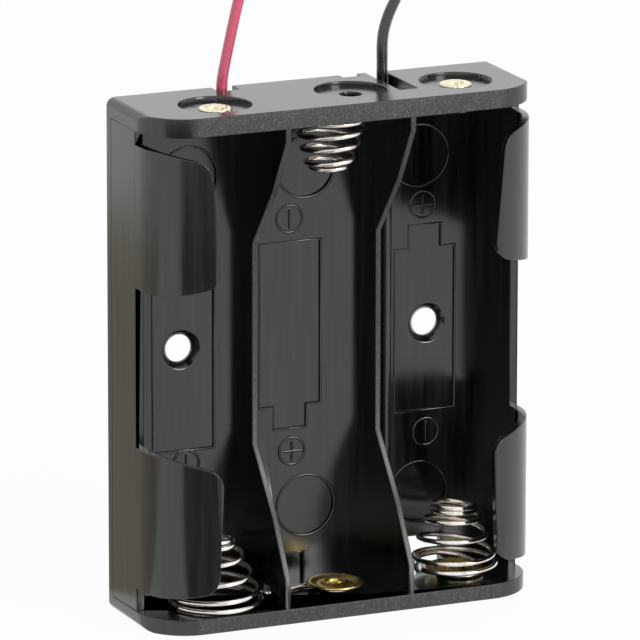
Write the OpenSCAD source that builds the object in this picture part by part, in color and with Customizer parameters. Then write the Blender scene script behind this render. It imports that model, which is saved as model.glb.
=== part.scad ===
// Holder for three R6 cells side by side, with conical contact springs,
// brass eyelets and two flying leads. It stands on its bottom end wall:
// X runs across the cells, +Y towards the mounting floor, +Z towards the lead exits.

/* [Cells] */
// diameter of a cell
cell_d = 14.5; // [13:0.1:16]
// length of a cell over its contacts
cell_l = 50.5; // [40:0.5:60]
// radial clearance round a cell in its bay
cell_clear = 0.05; // [0.05:0.05:0.3]

/* [Housing] */
// thickness of the floor that screws down
floor_t = 1.4; // [1.2:0.1:2.5]
// thickness of the side walls at the floor
wall_t = 1.2; // [1:0.1:2]
// how far a side wall leans in from the floor to the cell axis
side_draft = 0.2; // [0:0.05:0.4]
// how far the side wall's open edge stops behind the cell axis
wall_drop = 0.8; // [0.4:0.1:3]
// thickness of the dividers between the bays
divider_t = 0.7; // [0.6:0.1:1.2]
// thickness of the end wall with the lead exits
top_wall_t = 2.2; // [1.8:0.1:3]
// thickness of the end wall that it stands on
bottom_wall_t = 1.8; // [1.6:0.1:3]
// length left over for a pressed spring and the eyelets
spring_room = 5.1; // [4:0.1:7]
// depth of the end walls, from the back of the floor to the rim
rim_depth = 14.2; // [12:0.1:15]
// radius of the end walls' front corners
corner_r = 6; // [2:0.5:6.5]
// radius along the outer edges of the end walls
edge_r = 1; // [0.4:0.1:1.5]

/* [Lips] */
// thickness of the curled lips that hold the outer cells
lip_t = 1; // [0.8:0.1:1.4]
// length of one lip along the cell
lip_l = 16.5; // [12:0.1:18]
// angle by which a lip stops short of the front of the cell
lip_stop = 10; // [5:1:30]
// gap between the upper lips and the top end wall
lip_gap_top = 1.6; // [1:0.1:4]
// gap between the lower lips and the bottom end wall
lip_gap_bottom = 2.6; // [1:0.1:4]
// radius of a lip's free corners
lip_corner_r = 2.2; // [1:0.1:3]
// how much shorter the free edge is at the end towards the middle
lip_taper_in = 1.6; // [0:0.1:3]
// how much shorter the free edge is at the end towards the end wall
lip_taper_out = 1; // [0:0.1:3]
// how far the free edge of the top lips leans back towards the end wall
lip_slant_top = 1.4; // [0:0.1:2]
// the same for the bottom lips
lip_slant_bottom = 0.6; // [0:0.1:2]

/* [Dividers] */
// height of a divider above the floor along the middle of a cell
divider_h = 3.2; // [2:0.1:6]
// length of the low middle stretch of a divider
divider_low_l = 23.4; // [16:0.2:30]
// height above the floor of the knee in the divider's slope
divider_knee_h = 8.9; // [6:0.1:10]
// distance along the cell from the low stretch to the knee
divider_knee_l = 7.2; // [4:0.1:9]
// distance along the cell from the knee to the rim height
divider_end_l = 6.5; // [3:0.1:7]

/* [Screw holes] */
// diameter of the screw holes
screw_d = 3.2; // [2.5:0.1:4]
// diameter of the countersinks at the floor's inner face
screw_head_d = 5; // [4.5:0.1:6.5]

/* [Floor marks] */
// depth of the cell pictograms and the round marks in the floor
mark_depth = 0.2; // [0.1:0.05:0.3]
// width of a pictogram
picto_w = 7.6; // [5:0.1:10]
// length of a pictogram's body
picto_l = 19.3; // [14:0.1:24]
// width of a pictogram's terminal
picto_tab_w = 4.1; // [2:0.1:5]
// length of a pictogram's terminal
picto_tab_l = 2.7; // [1:0.1:4]
// diameter of the round ejector marks
ejector_d = 7.2; // [4:0.1:8]
// distance of their centres from the ends of the holder
ejector_inset = 9.9; // [8:0.1:14]

/* [Eyelets] */
// diameter of an eyelet's shank
shank_d = 3; // [2:0.1:4]
// diameter of the bore through an eyelet
eyelet_bore_d = 1.8; // [1:0.1:2.2]
// diameter of the flange that a cell touches
flange_d = 6.5; // [5:0.1:8]
// thickness of the flange
flange_t = 0.4; // [0.3:0.05:0.6]
// diameter of the rolled end in the outer pocket
rolled_d = 3.8; // [3.4:0.1:5]
// radial clearance round the shank
shank_clear = 0.05; // [0.02:0.01:0.15]
// diameter of the round pockets in the outer end faces
pocket_d = 8.3; // [6:0.1:9]
// depth of the pockets
pocket_depth = 0.55; // [0.4:0.05:0.8]
// diameter of the unused hole in the middle pocket
spare_hole_d = 2.5; // [1.5:0.1:3]
// thickness of the solder tag
tag_t = 0.3; // [0.2:0.05:0.5]

/* [Springs] */
// diameter of the spring wire
wire_d = 0.6; // [0.4:0.05:0.8]
// radius of a spring's largest turn
spring_base_r = 4.9; // [4:0.1:5.2]
// radius of a spring's smallest turn
spring_tip_r = 2; // [1.2:0.1:2.6]
// turns of the bottom left spring
turns_left = 5; // [4:1:6]
// turns of the top centre spring
turns_centre = 4; // [3:1:6]
// turns of the bottom right spring
turns_right = 4; // [3:1:6]
// free height of the bottom springs over the wire's first turn
spring_h = 7; // [5:0.1:8.5]
// free height of the top spring over the wire's first turn
spring_h_top = 5.9; // [4:0.1:7.5]
// how far the bottom springs sit towards the right of their bays
spring_shift = 0.5; // [0:0.1:1]

/* [Leads] */
// outer diameter of the lead insulation
lead_d = 1.25; // [1:0.05:1.6]
// diameter of the tinned conductor
conductor_d = 0.7; // [0.4:0.05:0.9]
// length of the tinned end
tinned_l = 5; // [3:0.5:8]
// width of the slot that the black lead leaves through
lead_slot_w = 2.2; // [1.8:0.1:3]
// depth of the slot from the back of the floor
lead_slot_depth = 9.6; // [4:0.1:11]
// width of the notch that the red lead leaves through
lead_notch_w = 2.5; // [1.8:0.1:4]
// depth of that notch
lead_notch_depth = 2.2; // [2:0.1:5]
// width of the window in the floor at the bottom of the right bay
window_w = 6.2; // [4.5:0.1:7]
// height of the window above the standing face
window_h = 4.75; // [3:0.1:6]

/* [Hidden] */
$fn = 64;

// Sizes that follow from the cells
bay_r = cell_d / 2 + cell_clear;
pitch = 2 * bay_r + divider_t;
inner_x = pitch + bay_r;
half_w = inner_x + wall_t;
holder_l = bottom_wall_t + cell_l + spring_room + top_wall_t;
top_z = holder_l - top_wall_t;
lip_out = bay_r + lip_t;

// Points of a corner at p between a and b, rounded to radius r
function rounded(p, a, b, r, n = 6) =
    let (u = (a - p) / norm(a - p), v = (b - p) / norm(b - p),
        half = acos(u * v) / 2, c = p + (u + v) / norm(u + v) * r / sin(half),
        s = p + u * r / tan(half) - c, e = p + v * r / tan(half) - c,
        a0 = atan2(s[1], s[0]), d = atan2(e[1], e[0]) - a0,
        turn = d > 180 ? d - 360 : d < -180 ? d + 360 : d)
    [for (i = [0:n]) c + r * [cos(a0 + turn * i / n), sin(a0 + turn * i / n)]];

// Outline of a lip from the front, its root at the high X side
function lip_outline(slant) =
    let (free_x = pitch + bay_r * sin(lip_stop),
        outer = [free_x + slant, lip_taper_out], inner = [free_x, lip_l - lip_taper_in],
        root_out = [inner_x, 0], root_in = [inner_x, lip_l])
    concat([[half_w, 0], root_out], rounded(outer, root_out, inner, lip_corner_r),
        rounded(inner, outer, root_in, lip_corner_r), [root_in, [half_w, lip_l]]);

// The lips' free edges are the front of the whole holder
lip_reach = min([for (slant = [lip_slant_top, lip_slant_bottom]) for (p = lip_outline(slant)) p[0]]) - pitch;
depth = floor_t + bay_r + sqrt(pow(lip_out, 2) - pow(lip_reach, 2));
back_y = depth / 2;
floor_y = back_y - floor_t;
axis_y = floor_y - bay_r;
rim_y = back_y - rim_depth;
wall_edge_y = axis_y + wall_drop;
cut = 1;

// Eyelet places in the end walls, as [X, Y]
left_top = [-14, axis_y + 0.6];
right_top = [15.8, axis_y + 1.2];
spare_top = [3, axis_y + 1.6];
centre_bottom = [0.3, axis_y - 0.4];
right_bottom = [pitch, axis_y];
loop_r = shank_d / 2 + shank_clear + wire_d / 2;
stack_t = wire_d + 2 * shank_clear;

// Spring axes
left_axis = [spring_shift - pitch, axis_y];
right_axis = [pitch + spring_shift, axis_y];
pass_w = wire_d + 1.4;
pass_h = wire_d + 0.8;

// Lead exits and the slots round them
slot_x = (pitch + divider_t) / 2;
slot_drop = 3.4;
notch_drop = 1.8;
notch_x = -11;
red_exit = [-10.2, floor_y + 0.3, holder_l];
black_exit = [9.5, floor_y + 0.15, holder_l];

// Outer X of a side wall at depth y
function wall_x(y) = half_w - side_draft * (back_y - y) / (back_y - axis_y);

function unit(v) = v / norm(v);

// Directions along a path of points
function tangents(p) = [for (i = [0:len(p) - 1])
    unit(p[min(i + 1, len(p) - 1)] - p[max(i - 1, 0)])];

// One side direction for each point, carried along the path without twist
function sides(t, first) = [for (i = 0, n = unit(first - (first * t[0]) * t[0]); i < len(t);
    i = i + 1, n = i < len(t) ? unit(n - (n * t[i]) * t[i]) : n) n];

// Round wire or tube swept along a path
module sweep(path, d, n = 8, first = [0, 0, 1]) {
    t = tangents(path);
    s = sides(t, first);
    last = len(path) - 1;
    points = [for (i = [0:last]) for (k = [0:n - 1])
        path[i] + d / 2 * (cos(360 * k / n) * s[i] + sin(360 * k / n) * cross(t[i], s[i]))];
    skin = [for (i = [0:last - 1]) for (k = [0:n - 1])
        [i * n + k, (i + 1) * n + k, (i + 1) * n + (k + 1) % n, i * n + (k + 1) % n]];
    cap0 = [[for (k = [0:n - 1]) k]];
    cap1 = [[for (k = [n - 1:-1:0]) last * n + k]];
    polyhedron(points, concat(skin, cap0, cap1), convexity = 10);
}

// Outside of a round corner of radius r, with the corner at the origin. The arc runs
// a hair past the two edges, so that it meets them at a slight angle.
module corner_2d(r) {
    centre = 0.997 * r;
    difference() {
        translate([-cut, -cut]) square(r + cut);
        translate([centre, centre]) circle(r);
    }
}

// ---- Housing ----

// One end wall from z0, with its two round front corners
module end_wall(z0, t) {
    difference() {
        translate([-half_w, rim_y, z0]) cube([2 * half_w, rim_depth, t]);
        for (side = [0, 1]) mirror([side, 0, 0])
            translate([half_w, rim_y, z0 - cut]) mirror([1, 0, 0])
                linear_extrude(t + 2 * cut) corner_2d(corner_r);
    }
}

// Straight side wall on the +X side, from its open edge at front_y to the back
module side_wall(z0, l, front_y) {
    translate([0, 0, z0]) linear_extrude(l)
        polygon([[inner_x, front_y], [wall_x(front_y), front_y], [half_w, back_y], [inner_x, back_y]]);
}

// Curled lip on the +X side, standing on its own stretch of side wall; the end towards the
// middle of the holder is up
module lip(slant) {
    side_wall(0, lip_l, axis_y);
    intersection() {
        translate([pitch, axis_y, -cut]) mirror([0, 1, 0])
            rotate_extrude(angle = 90 - lip_stop / 2, $fn = 96)
                translate([bay_r, 0]) square([lip_t, lip_l + 2 * cut]);
        translate([0, axis_y + cut, 0]) rotate([90, 0, 0])
            linear_extrude(2 * lip_out) polygon(lip_outline(slant));
    }
}

// Divider, low along the cell and rising in two slopes to the rims
module divider(x) {
    mid_z = bottom_wall_t + (cell_l + spring_room) / 2 + 0.9;
    low = divider_low_l / 2;
    knee = low + divider_knee_l;
    end = knee + divider_end_l;
    translate([x - divider_t / 2, 0, 0]) rotate([90, 0, 90]) linear_extrude(divider_t)
        polygon([
            [floor_y + floor_t / 2, bottom_wall_t / 2],
            [rim_y + 0.1, bottom_wall_t / 2],
            [rim_y + 0.1, mid_z - end],
            [floor_y - divider_knee_h, mid_z - knee],
            [floor_y - divider_h, mid_z - low],
            [floor_y - divider_h, mid_z + low],
            [floor_y - divider_knee_h, mid_z + knee],
            [rim_y + 0.1, mid_z + end],
            [rim_y + 0.1, holder_l - top_wall_t / 2],
            [floor_y + floor_t / 2, holder_l - top_wall_t / 2]
        ]);
}

// Countersunk screw hole through the floor
module screw_hole(x) {
    sink = (screw_head_d - screw_d) / 2;
    translate([x, floor_y, holder_l / 2]) rotate([-90, 0, 0]) {
        translate([0, 0, -cut]) cylinder(d = screw_d, h = floor_t + 2 * cut);
        translate([0, 0, -cut]) cylinder(d = screw_head_d, h = cut);
        cylinder(d1 = screw_head_d, d2 = screw_d, h = sink);
    }
}

// Sunk outline of a cell, its terminal up (1) or down (-1)
module pictogram(x, z, up) {
    translate([x, floor_y - cut, z]) {
        translate([-picto_w / 2, 0, -picto_l / 2]) cube([picto_w, cut + mark_depth, picto_l]);
        translate([-picto_tab_w / 2, 0, up * (picto_l + picto_tab_l) / 2 - picto_tab_l / 2])
            cube([picto_tab_w, cut + mark_depth, picto_tab_l]);
    }
}

// Round pocket in an outer end face with a hole through the wall
module pocket(at, z_face, up, hole_d) {
    translate([at[0], at[1], z_face]) mirror([0, 0, up ? 0 : 1]) {
        translate([0, 0, -pocket_depth]) cylinder(d = pocket_d, h = pocket_depth + cut);
        translate([0, 0, -top_wall_t - cut]) cylinder(d = hole_d, h = top_wall_t + 2 * cut, $fn = 32);
    }
}

// Everything that is cut out of the moulding
module housing_cuts() {
    eyelet_hole_d = shank_d + 2 * shank_clear;
    for (x = [-pitch, pitch]) screw_hole(x);
    pictogram(-pitch + 0.2, 27.6, 1);
    pictogram(-1.9, 31.5, -1);
    pictogram(pitch - 0.4, 29.2, 1);
    for (x = [-pitch + 0.8, 0, pitch - 1.1]) for (z = [ejector_inset, holder_l - ejector_inset])
        translate([x, floor_y - cut, z]) rotate([-90, 0, 0])
            cylinder(d = ejector_d, h = cut + mark_depth);
    pocket(left_top, holder_l, true, eyelet_hole_d);
    pocket(right_top, holder_l, true, eyelet_hole_d);
    pocket(spare_top, holder_l, true, spare_hole_d);
    pocket(centre_bottom, 0, false, eyelet_hole_d);
    pocket(right_bottom, 0, false, eyelet_hole_d);
    // exits of the leads, open to the back and running a little down the floor
    translate([slot_x, back_y - lead_slot_depth, top_z - cut])
        cube([lead_slot_w, lead_slot_depth + cut, top_wall_t + 2 * cut]);
    translate([slot_x, floor_y - cut, top_z - slot_drop])
        cube([lead_slot_w, floor_t + 2 * cut, slot_drop + cut]);
    translate([notch_x, back_y - lead_notch_depth, top_z - notch_drop])
        cube([lead_notch_w, lead_notch_depth + cut, top_wall_t + notch_drop + cut]);
    // shallow notch in the top back edge
    translate([4.8, back_y - 1.2, top_z]) cube([2.1, 1.2 + cut, top_wall_t + cut]);
    // window at the bottom of the right bay, with a slot in the end wall below it
    translate([pitch + 1.9 - window_w, floor_y - cut, -cut])
        cube([window_w, floor_t + 2 * cut, window_h + cut]);
    translate([slot_x, axis_y + 1.6, -cut])
        cube([5.4, depth, bottom_wall_t + 2 * cut]);
    // passes for the bridge wires through the dividers
    translate([-pitch / 2 - divider_t, axis_y - pass_w / 2, bottom_wall_t])
        cube([2 * divider_t, pass_w, pass_h]);
    translate([pitch / 2 - divider_t, axis_y - pass_w / 2, top_z - pass_h])
        cube([2 * divider_t, pass_w, pass_h]);
    // blind recess low in the middle bay
    translate([-2.5, floor_y - cut, bottom_wall_t]) cube([2.3, cut + 0.4, 2.6]);
    // round outer edges of the end walls
    for (side = [0, 1]) for (up = [0, 1])
        translate([0, back_y + cut, holder_l / 2]) mirror([side, 0, 0]) mirror([0, 0, up])
            translate([-half_w, 0, -holder_l / 2]) rotate([90, 0, 0])
                linear_extrude(rim_depth + 2 * cut) corner_2d(edge_r);
}

module housing() {
    color("#2b2b28") difference() {
        union() {
            translate([-half_w, floor_y, 0]) cube([2 * half_w, floor_t, holder_l]);
            end_wall(0, bottom_wall_t);
            end_wall(top_z, top_wall_t);
            for (side = [0, 1]) mirror([side, 0, 0]) {
                side_wall(bottom_wall_t / 2, top_z, wall_edge_y);
                translate([0, 0, bottom_wall_t + lip_gap_bottom]) lip(lip_slant_bottom);
                translate([0, 0, top_z - lip_gap_top]) mirror([0, 0, 1]) lip(lip_slant_top);
            }
            for (x = [-pitch / 2, pitch / 2]) divider(x);
        }
        housing_cuts();
    }
}

// ---- Contacts ----

// Conical coil on an axis: flat first turn with an ear towards the tail, then rising turns
function coil(axis, turns, z0, h, a0, hand, ear, base_r = spring_base_r) = [
    for (i = [0:16 * turns])
        let (t = i / 16, a = a0 + hand * 360 * t,
            rise = max(0, t - 0.75) / (turns - 0.75),
            near = pow(max(0, cos(360 * t)), 14) * (t < 1.3 ? 1 : 0),
            r = base_r + (spring_tip_r - base_r) * pow(t / turns, 1.2) + ear * near)
        [axis[0] + r * cos(a), axis[1] + r * sin(a), z0 + h * rise]];

// Directions in which each tail's loop starts and ends, seen from above
hook_left = [-250, 100];
hook_centre = [200, -90];
hook_right = [-60, 240];

// Loop of the tail round an eyelet's shank
function loop(at, z, turn) = [
    for (i = [0:18])
        let (a = turn[0] + (turn[1] - turn[0]) * i / 18)
        [at[0] + loop_r * cos(a), at[1] + loop_r * sin(a), z]];

// Bottom left spring, its tail bridged to the centre eyelet
module contact_spring_left() {
    z = bottom_wall_t + stack_t / 2;
    ear = left_axis[0] + spring_base_r;
    tail_x = -pitch / 2 - divider_t / 2 - 0.3;
    color("#c9c4ba") sweep(concat(
        loop(centre_bottom, z, hook_left),
        [[-3.2, axis_y + 1.3, z], [-pitch / 2 + divider_t, axis_y + 0.2, z]],
        coil(left_axis, turns_left, z, spring_h, 0, -1, tail_x - ear)), wire_d);
}

// Top centre spring, hanging down, its tail bridged to the right eyelet
module contact_spring_centre() {
    z = top_z - stack_t / 2;
    tail_x = pitch / 2 - divider_t / 2 - 0.3;
    color("#c9c4ba") sweep(concat(
        loop(right_top, z, hook_centre),
        [[pitch / 2 + divider_t + 2.2, axis_y + 0.2, z], [pitch / 2 + divider_t, axis_y, z]],
        coil([0, axis_y], turns_centre, z, -spring_h_top, 0, 1, tail_x - spring_base_r)), wire_d);
}

// Bottom right spring, its tail hooked round its own eyelet
module contact_spring_right() {
    z = bottom_wall_t + stack_t / 2;
    lift = stack_t + flange_t;
    color("#c9c4ba") sweep(concat(
        loop(right_bottom, z, hook_right),
        [for (i = [1:6]) let (a = hook_right[1] + 30 * i, r = loop_r + (spring_base_r - loop_r) * i / 7)
            [right_bottom[0] + spring_shift * i / 7 + r * cos(a), right_bottom[1] + r * sin(a),
                z + lift * max(0, i - 4) / 3]],
        coil(right_axis, turns_right, z + lift, spring_h, 90, 1, 0)), wire_d);
}

// Eyelet with its flange inside the bay and its end rolled over in the outer pocket
module eyelet(at, z_inner, up, wall, under) {
    shank_r = shank_d / 2;
    bore_r = eyelet_bore_d / 2;
    bulge = flange_t / 2;
    color("#b3913c") translate([at[0], at[1], z_inner]) mirror([0, 0, up ? 0 : 1])
        rotate_extrude() {
            translate([bore_r, -under - flange_t])
                square([flange_d / 2 - bulge - bore_r, flange_t]);
            translate([flange_d / 2 - bulge, -under - bulge]) circle(bulge, $fn = 24);
            translate([bore_r, -under - flange_t])
                square([shank_r - bore_r, under + flange_t + wall - pocket_depth + flange_t / 2]);
            translate([bore_r, wall - pocket_depth])
                square([rolled_d / 2 - bulge - bore_r, flange_t]);
            translate([rolled_d / 2 - bulge, wall - pocket_depth + bulge]) circle(bulge, $fn = 24);
        }
}

module eyelet_left_positive() { eyelet(left_top, top_z, true, top_wall_t, tag_t); }
module eyelet_centre_positive() { eyelet(centre_bottom, bottom_wall_t, false, bottom_wall_t, stack_t); }
module eyelet_right_positive() { eyelet(right_top, top_z, true, top_wall_t, stack_t); }
module eyelet_right_negative() { eyelet(right_bottom, bottom_wall_t, false, bottom_wall_t, stack_t); }

// Solder tag under the left eyelet, its tongue towards the red lead
tag_tip = [-10.6, axis_y + 3.6];
module solder_tag() {
    tag_w = 2.4;
    color("#c9b477") translate([0, 0, top_z - tag_t]) difference() {
        union() {
            translate(left_top) cylinder(d = flange_d - 1, h = tag_t);
            translate(left_top) rotate([0, 0, atan2(tag_tip[1] - left_top[1], tag_tip[0] - left_top[0])])
                translate([0, -tag_w / 2, 0]) cube([norm(tag_tip - left_top), tag_w, tag_t]);
            translate(tag_tip) cylinder(d = tag_w, h = tag_t);
        }
        translate([left_top[0], left_top[1], -cut])
            cylinder(d = shank_d + 2 * shank_clear, h = tag_t + 2 * cut);
    }
}

// ---- Leads ----

red_joint = [tag_tip[0], tag_tip[1], top_z - tag_t];
black_joint = [right_axis[0] - spring_base_r - wire_d / 2 - 0.02, axis_y - 0.9, bottom_wall_t + 1.6];

module solder_joint_red() {
    color("#bcbcb8") translate(red_joint) rotate([180, 0, 0])
        cylinder(d1 = 2.2, d2 = 1.2, h = 0.7);
}

module solder_joint_black() {
    color("#bcbcb8") translate(black_joint) rotate([0, -90, 0])
        cylinder(d1 = 1.5, d2 = 1, h = 0.7);
}

straight = [0, 0, 0.6];
red_inner = [red_joint + [0.15, 0.75, -0.95], [-10.3, axis_y + 5, top_z - 1.6],
    [-10.2, floor_y - lead_d / 2 - 0.1, top_z - 1.2], red_exit - [0, 0.3, top_wall_t],
    red_exit - straight, red_exit];
black_inner = [black_joint + [-0.9, 0.9, 0], [9.4, 2.4, 4.4], [9.3, 4.6, 6], [9.6, 5.9, 9], [9.7, 6.3, 13],
    [9.7, 6.3, 30], [9.7, 6.3, 54], black_exit - [0, 0, top_wall_t], black_exit - straight, black_exit];

module red_lead_inner() { color("#c9506a") sweep(red_inner, lead_d, first = [1, 0, 0]); }
module black_lead_inner() { color("#1c1c1c") sweep(black_inner, lead_d, first = [1, 0, 0]); }

// Free stretch of each lead: up from its exit, over, and down behind the holder to its coil
coil_top = lead_d + 0.02;
red_route = [red_exit, red_exit + straight, [-10.05, 7.3, 61.3], [-9.75, 7.3, 62.7], [-9.3, 7.3, 64.7],
    [-8.8, 7.3, 66.9], [-8.2, 7.3, 69.3], [-7.5, 7.3, 71.8],
    [-7, 7.65, 73.1], [-6.35, 8.55, 73.95], [-5.7, 9.8, 74.1], [-5.25, 11.05, 73.6], [-5.1, 11.95, 72.5],
    [-5.3, 12.3, 71.1], [-6.1, 12.3, 68.1], [-6.85, 12.3, 65], [-7.5, 12.3, 62], [-8, 12.3, 59],
    [-8.1, 12.3, 54], [-8, 12.3, 48], [-7.9, 12.3, 42], [-7.8, 12.3, 36], [-7.7, 12.3, 30],
    [-7.6, 12.3, 24], [-7.5, 12.3, 18], [-7.4, 12.3, 12], [-7.4, 12.3, 6], [-7.4, 12.3, coil_top]];
black_route = [black_exit, black_exit + straight, [9.5, 7.2, 61.4], [9.5, 7.2, 62.9], [9.7, 7.2, 64.6],
    [10.3, 7.2, 66.4], [11.1, 7.2, 68], [12, 7.2, 69.8], [12.9, 7.2, 71.5],
    [13.6, 7.55, 72.7], [14.45, 8.5, 73.45], [15.15, 9.75, 73.5], [15.55, 11.05, 72.85], [15.5, 11.95, 71.7],
    [15.1, 12.3, 70.3], [14.3, 12.3, 68.4], [13.4, 12.3, 66.7], [12.5, 12.3, 64.8], [11.95, 12.3, 62.7],
    [11.85, 12.3, 60], [11.8, 12.3, 57], [11.6, 12.3, 52], [11.3, 12.3, 46], [11, 12.3, 40],
    [10.6, 12.3, 34], [10.2, 12.3, 28], [9.8, 12.3, 22], [9.3, 12.3, 16], [9, 12.3, 11],
    [8.8, 12.3, 6], [8.8, 12.3, coil_top]];

module red_lead() { color("#c9506a") sweep(red_route, lead_d, first = [1, 0, 0]); }
module black_lead() { color("#1c1c1c") sweep(black_route, lead_d, first = [1, 0, 0]); }

// Coil of the rest of each lead, lying behind the holder
coil_out_r = 7.85;
coil_in_r = 4.65;
red_coil_at = [-11, 18.5];
black_coil_at = [5.2, 18.5];
module lead_coil(at) {
    translate(at) rotate_extrude() translate([coil_in_r, 0])
        square([coil_out_r - coil_in_r, coil_top]);
}
module red_lead_coil() { color("#c9506a") lead_coil(red_coil_at); }
module black_lead_coil() { color("#1c1c1c") lead_coil(black_coil_at); }

// Tinned end of each lead, running on from the inner turn of its coil into the open middle
module lead_end(at) {
    turn_in = 35;
    start_r = coil_in_r - conductor_d / 2 * cos(turn_in) - 0.01;
    translate([at[0], at[1], conductor_d / 2]) rotate([0, 0, 113])
        translate([start_r, 0, 0]) rotate([0, 0, -90 - turn_in]) rotate([0, 90, 0])
            cylinder(d = conductor_d, h = tinned_l, $fn = 24);
}
module red_lead_end() { color("#c4c4c0") lead_end(red_coil_at); }
module black_lead_end() { color("#c4c4c0") lead_end(black_coil_at); }

housing();
contact_spring_left();
contact_spring_centre();
contact_spring_right();
eyelet_left_positive();
eyelet_centre_positive();
eyelet_right_positive();
eyelet_right_negative();
solder_tag();
solder_joint_red();
solder_joint_black();
red_lead_inner();
black_lead_inner();
red_lead();
black_lead();
red_lead_coil();
black_lead_coil();
red_lead_end();
black_lead_end();
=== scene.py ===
"""Looks of an open holder for three R6 cells, on its end, its leads put away behind it."""
from math import cos, pi, radians, sin

import bmesh
import bpy
from mathutils import Matrix, Vector
from mathutils.bvhtree import BVHTree


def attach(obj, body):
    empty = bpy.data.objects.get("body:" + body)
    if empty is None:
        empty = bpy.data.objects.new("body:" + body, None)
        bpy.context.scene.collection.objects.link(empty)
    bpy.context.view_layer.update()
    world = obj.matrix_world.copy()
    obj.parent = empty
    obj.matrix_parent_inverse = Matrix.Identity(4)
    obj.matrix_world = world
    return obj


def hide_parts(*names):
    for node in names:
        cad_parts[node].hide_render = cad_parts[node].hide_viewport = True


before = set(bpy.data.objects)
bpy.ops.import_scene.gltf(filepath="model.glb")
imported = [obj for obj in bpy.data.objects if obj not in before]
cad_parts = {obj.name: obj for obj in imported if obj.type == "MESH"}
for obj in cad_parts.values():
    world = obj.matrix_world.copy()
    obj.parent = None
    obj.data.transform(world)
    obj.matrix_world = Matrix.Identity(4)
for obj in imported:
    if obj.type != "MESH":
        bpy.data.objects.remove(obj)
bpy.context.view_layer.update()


# ---- Camera, floor and light ----
# A long lens a little above and to the left of the holder, which stands on a plain white
# table inside a light tent. Two soft lamps add a little from the front and from behind, and
# two glowing sheets on the table, which only gloss and metal see, put painted dark and beige
# reflections on the holder.
CAMERA_AZIMUTH = radians(23.82)
CAMERA_HEIGHT = radians(14.43)
CAMERA_ROLL = radians(0.09)
CAMERA_DISTANCE = 0.8846
CAMERA_TARGET = Vector((-0.00071, 0.00134, 0.03317))
CAMERA_NEAR = 0.05
CAMERA_FAR = 20
SENSOR_MM = 36
FOCAL_SHARE = 12.221  # focal length over the sensor's width
TABLE_HALF = 3.0
TABLE_TONE = 0.86
TABLE_ROUGHNESS = 0.9
WHITE_SHARE = 0.95  # how much of the table's look is plain white
TENT_LEVEL = 0.62
SHEET_LIFT = 0.0002
SHEET_STEPS = 24
# Colours of the two glowing sheets that paint dark and beige reflections on the holder.
PAINTED_DARK_REFLECTION_TONE = (0.2, 0.205, 0.18)
PAINTED_BEIGE_REFLECTION_TONE = (0.5, 0.46, 0.37)


def place_camera():
    away = Vector((
        -sin(CAMERA_AZIMUTH) * cos(CAMERA_HEIGHT),
        -cos(CAMERA_AZIMUTH) * cos(CAMERA_HEIGHT),
        sin(CAMERA_HEIGHT),
    ))
    right = Vector((0, 0, 1)).cross(away).normalized()
    up = away.cross(right)
    turned_right = right * cos(CAMERA_ROLL) + up * sin(CAMERA_ROLL)
    turned_up = away.cross(turned_right)
    camera = bpy.data.objects.new("camera", bpy.data.cameras.new("camera"))
    camera.data.sensor_width = SENSOR_MM
    camera.data.lens = FOCAL_SHARE * SENSOR_MM
    camera.data.clip_start = CAMERA_NEAR
    camera.data.clip_end = CAMERA_FAR
    axes = Matrix((turned_right, turned_up, away)).transposed().to_4x4()
    camera.matrix_world = Matrix.Translation(CAMERA_TARGET + away * CAMERA_DISTANCE) @ axes
    bpy.context.scene.collection.objects.link(camera)
    bpy.context.scene.camera = camera


def new_material(name):
    """A material with its Principled shader: (material, tree, shader, output)."""
    material = bpy.data.materials.new(name)
    material.use_nodes = True
    tree = material.node_tree
    return material, tree, tree.nodes["Principled BSDF"], tree.nodes["Material Output"]


def add_node(tree, kind, settings=None, **inputs):
    """One node with its settings and inputs, each input a value or another node's socket.

    An input goes by its name, with _ for a space, or by its number as i0, i1 and so on.
    """
    node = tree.nodes.new(kind)
    for key, value in (settings or {}).items():
        setattr(node, key, value)
    for key, value in inputs.items():
        numbered = key[0] == "i" and key[1:].isdigit()
        socket = node.inputs[int(key[1:]) if numbered else key.replace("_", " ")]
        if isinstance(value, bpy.types.NodeSocket):
            tree.links.new(value, socket)
        else:
            socket.default_value = value
    return node


def maths(tree, operation, first, second=0.0):
    """The result of one sum on two values or sockets."""
    node = add_node(tree, "ShaderNodeMath", {"operation": operation}, i0=first, i1=second)
    return node.outputs[0]


def ranged(tree, value, first, last, low=0.0, high=1.0):
    """The value carried from first..last to low..high, and held at their ends."""
    node = add_node(tree, "ShaderNodeMapRange", Value=value, From_Min=first, From_Max=last,
                    To_Min=low, To_Max=high)
    return node.outputs["Result"]


def looked_at(tree):
    """1 where the camera, a gloss or a clear part looks, 0 where only light is gathered."""
    path = tree.nodes.new("ShaderNodeLightPath").outputs
    seen = maths(tree, "MAXIMUM", path["Is Camera Ray"], path["Is Glossy Ray"])
    return maths(tree, "MAXIMUM", seen, path["Is Transmission Ray"])


def new_piece(name, data, *materials):
    """An object of the mesh or curve with its materials, in the scene."""
    for material in materials:
        data.materials.append(material)
    piece = bpy.data.objects.new(name, data)
    bpy.context.scene.collection.objects.link(piece)
    return piece


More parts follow.
